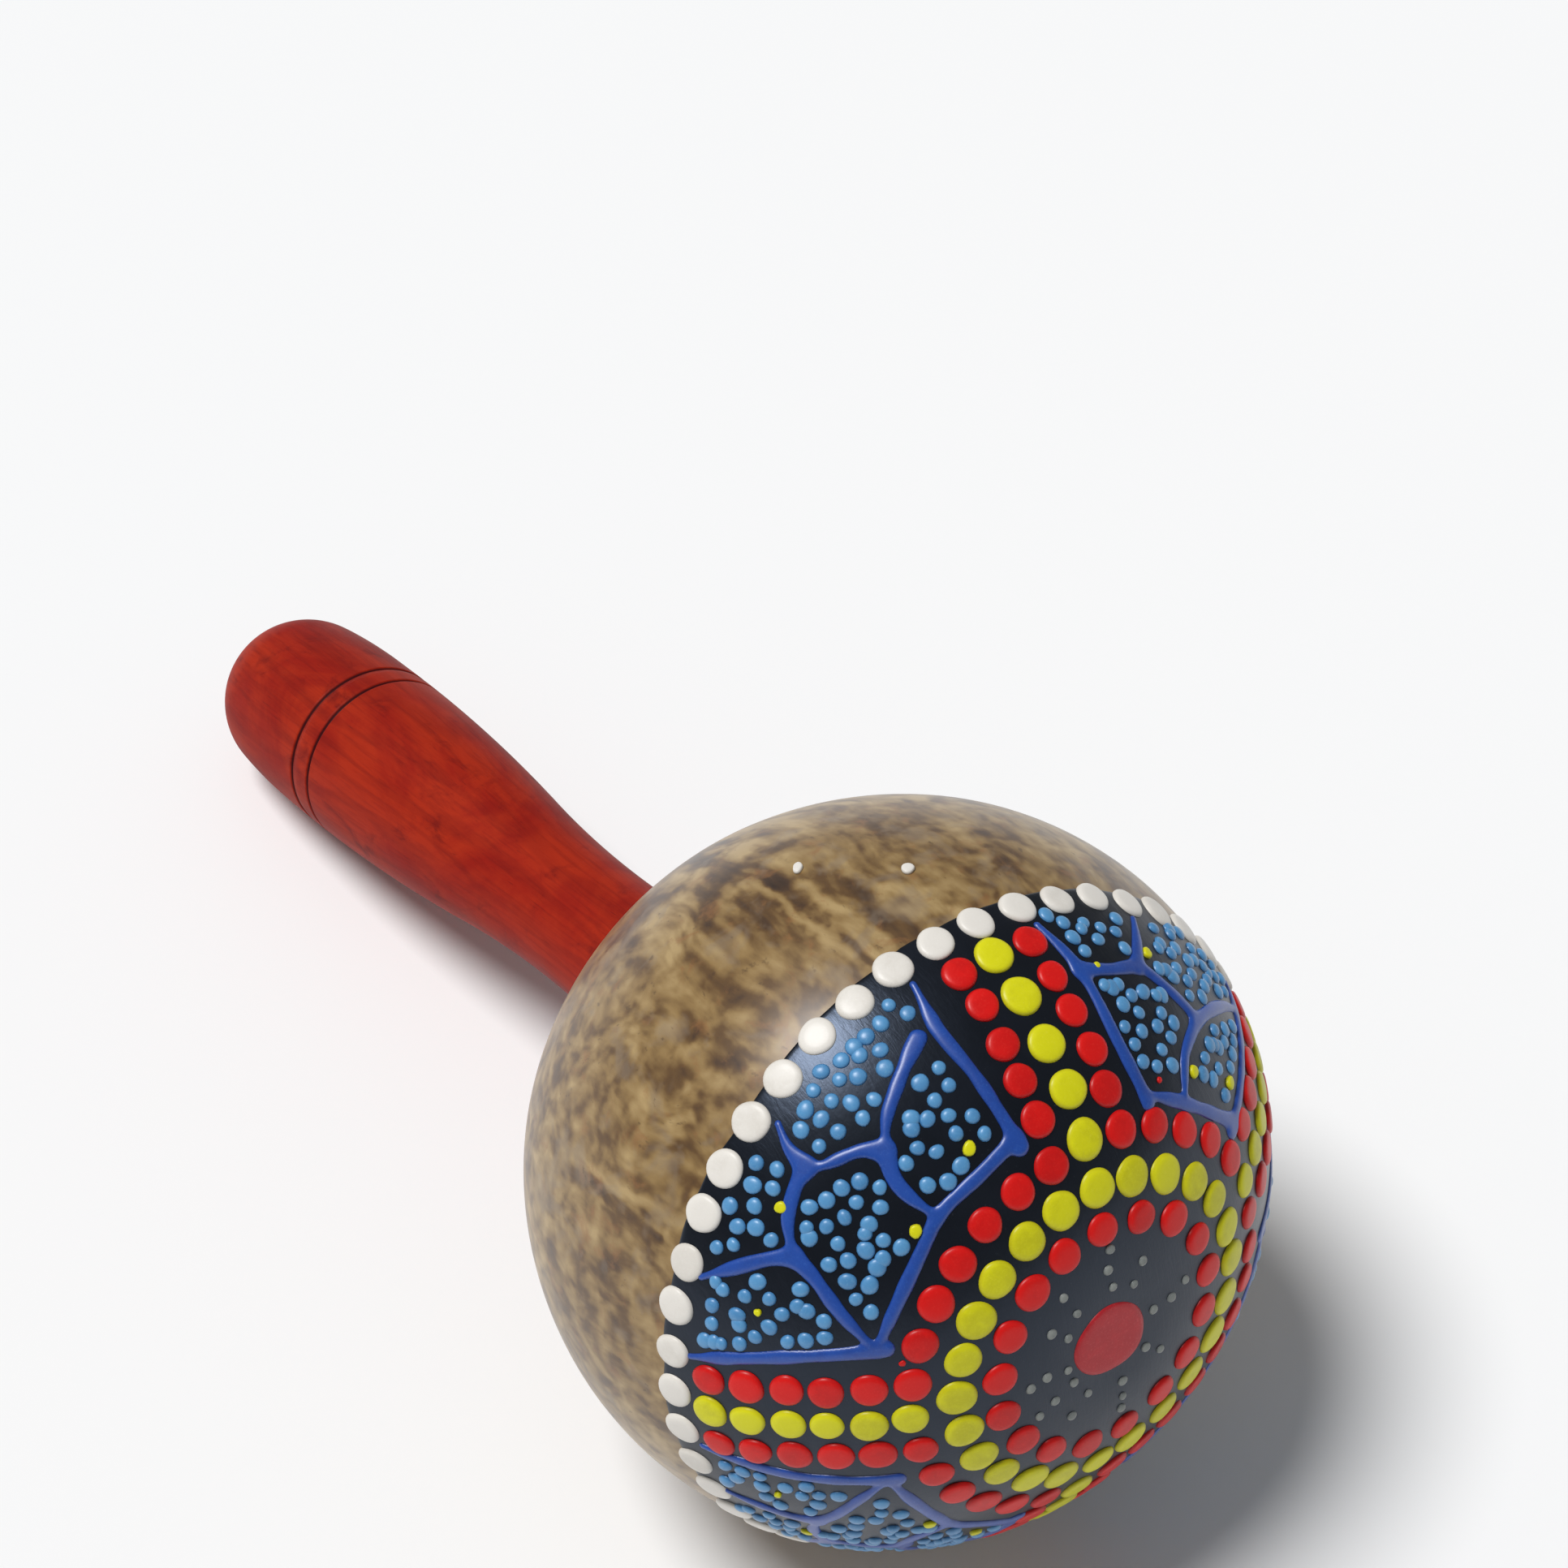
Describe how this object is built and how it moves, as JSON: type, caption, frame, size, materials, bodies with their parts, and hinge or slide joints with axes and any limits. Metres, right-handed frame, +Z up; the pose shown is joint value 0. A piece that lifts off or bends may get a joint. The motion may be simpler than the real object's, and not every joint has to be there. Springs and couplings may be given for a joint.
{
  "type": "coconut maraca",
  "caption": "Coconut maraca: a hollow nut shell with a dot-painted front, a turned red-stained handle glued into it, and loose seeds inside that rattle when it is shaken.",
  "frame": {"origin": "on the surface that the maraca lies on, under the middle of its outline", "axes": "+Z up, +X towards the painted pole of the nut, along the handle seen from above; the maraca's own axis rises 13.5 degrees towards the pole"},
  "size_m": [0.197, 0.093, 0.0933],
  "materials": {
    "nut_bark": "scraped coconut shell, mottled tan and brown, satin lacquer",
    "stained_wood": "turned hardwood, red-orange stain, satin lacquer",
    "glue": "dried wood glue, dull",
    "black_ground": "near-black paint under satin lacquer",
    "white_paint": "thick warm white paint dots, satin",
    "yellow_paint": "thick yellow paint dots, satin",
    "red_paint": "thick red paint dots, satin",
    "disc_paint": "thin red paint, streaky, satin",
    "seed": "dry hard seed, dull"
  },
  "bodies": {
    "maraca": {"shell": "nut_bark", "handle": "stained_wood", "glue_joint": "glue", "ground_coat": "black_ground", "white_dots": "white_paint", "yellow_dots": "yellow_paint", "red_dots": "red_paint", "pole_disc": "disc_paint"},
    "seed_1": {"seed_1": "seed"},
    "seed_2": {"seed_2": "seed"},
    "seed_3": {"seed_3": "seed"},
    "seed_4": {"seed_4": "seed"},
    "seed_5": {"seed_5": "seed"},
    "seed_6": {"seed_6": "seed"},
    "seed_7": {"seed_7": "seed"},
    "seed_8": {"seed_8": "seed"},
    "seed_9": {"seed_9": "seed"},
    "seed_10": {"seed_10": "seed"},
    "seed_11": {"seed_11": "seed"},
    "seed_12": {"seed_12": "seed"},
    "seed_13": {"seed_13": "seed"},
    "seed_14": {"seed_14": "seed"},
    "seed_15": {"seed_15": "seed"},
    "seed_16": {"seed_16": "seed"},
    "seed_17": {"seed_17": "seed"},
    "seed_18": {"seed_18": "seed"},
    "seed_19": {"seed_19": "seed"}
  },
  "joints": [
    {"name": "seed_1_hop", "type": "slide", "parent": "maraca", "child": "seed_1", "axis": [0, 0, 1], "range_m": [0, 0.0738]},
    {"name": "seed_2_hop", "type": "slide", "parent": "maraca", "child": "seed_2", "axis": [0, 0, 1], "range_m": [0, 0.0749]},
    {"name": "seed_3_hop", "type": "slide", "parent": "maraca", "child": "seed_3", "axis": [0, 0, 1], "range_m": [0, 0.0738]},
    {"name": "seed_4_hop", "type": "slide", "parent": "maraca", "child": "seed_4", "axis": [0, 0, 1], "range_m": [0, 0.0749]},
    {"name": "seed_5_hop", "type": "slide", "parent": "maraca", "child": "seed_5", "axis": [0, 0, 1], "range_m": [0, 0.0772]},
    {"name": "seed_6_hop", "type": "slide", "parent": "maraca", "child": "seed_6", "axis": [0, 0, 1], "range_m": [0, 0.0772]},
    {"name": "seed_7_hop", "type": "slide", "parent": "maraca", "child": "seed_7", "axis": [0, 0, 1], "range_m": [0, 0.0748]},
    {"name": "seed_8_hop", "type": "slide", "parent": "maraca", "child": "seed_8", "axis": [0, 0, 1], "range_m": [0, 0.0738]},
    {"name": "seed_9_hop", "type": "slide", "parent": "maraca", "child": "seed_9", "axis": [0, 0, 1], "range_m": [0, 0.0772]},
    {"name": "seed_10_hop", "type": "slide", "parent": "maraca", "child": "seed_10", "axis": [0, 0, 1], "range_m": [0, 0.0782]},
    {"name": "seed_11_hop", "type": "slide", "parent": "maraca", "child": "seed_11", "axis": [0, 0, 1], "range_m": [0, 0.0769]},
    {"name": "seed_12_hop", "type": "slide", "parent": "maraca", "child": "seed_12", "axis": [0, 0, 1], "range_m": [0, 0.0732]},
    {"name": "seed_13_hop", "type": "slide", "parent": "maraca", "child": "seed_13", "axis": [0, 0, 1], "range_m": [0, 0.0748]},
    {"name": "seed_14_hop", "type": "slide", "parent": "maraca", "child": "seed_14", "axis": [0, 0, 1], "range_m": [0, 0.0769]},
    {"name": "seed_15_hop", "type": "slide", "parent": "maraca", "child": "seed_15", "axis": [0, 0, 1], "range_m": [0, 0.0767]},
    {"name": "seed_16_hop", "type": "slide", "parent": "maraca", "child": "seed_16", "axis": [0, 0, 1], "range_m": [0, 0.0741]},
    {"name": "seed_17_hop", "type": "slide", "parent": "maraca", "child": "seed_17", "axis": [0, 0, 1], "range_m": [0, 0.0732]},
    {"name": "seed_18_hop", "type": "slide", "parent": "maraca", "child": "seed_18", "axis": [0, 0, 1], "range_m": [0, 0.0741]},
    {"name": "seed_19_hop", "type": "slide", "parent": "maraca", "child": "seed_19", "axis": [0, 0, 1], "range_m": [0, 0.0726]}
  ]
}
